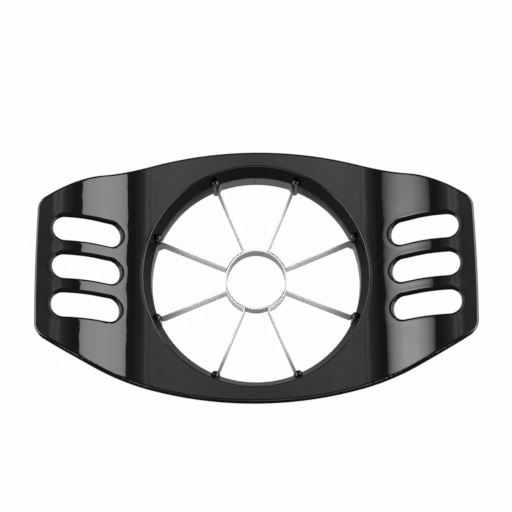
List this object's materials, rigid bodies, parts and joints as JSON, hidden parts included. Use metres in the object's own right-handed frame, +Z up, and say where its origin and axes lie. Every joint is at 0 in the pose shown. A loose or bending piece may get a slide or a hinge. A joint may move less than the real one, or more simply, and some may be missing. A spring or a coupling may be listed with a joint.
{
  "type": "apple slicer and corer",
  "caption": "Two-handled apple slicer: a glossy black frame with slotted wing handles holds radial steel blades round a core tube.",
  "frame": {"origin": "centre of the blade ring at the height it stands on", "axes": "+Z up through the ring, +X towards one handle, +Y towards the back long side"},
  "size_m": [0.1884, 0.1128, 0.0412],
  "materials": {
    "black_abs": "glossy injection-moulded ABS",
    "blade_steel": "bright rolled stainless strip with ground edges",
    "pin_plastic": "glossy moulded nylon"
  },
  "bodies": {
    "root": {"frame": "black_abs", "core_ring": "blade_steel", "blade_strip_1": "blade_steel", "blade_strip_2": "blade_steel", "blade_strip_3": "blade_steel", "blade_strip_4": "blade_steel", "blade_pin_1": "pin_plastic", "blade_pin_2": "pin_plastic", "blade_pin_3": "pin_plastic", "blade_pin_4": "pin_plastic", "blade_pin_5": "pin_plastic", "blade_pin_6": "pin_plastic", "blade_pin_7": "pin_plastic", "blade_pin_8": "pin_plastic"}
  },
  "joints": []
}
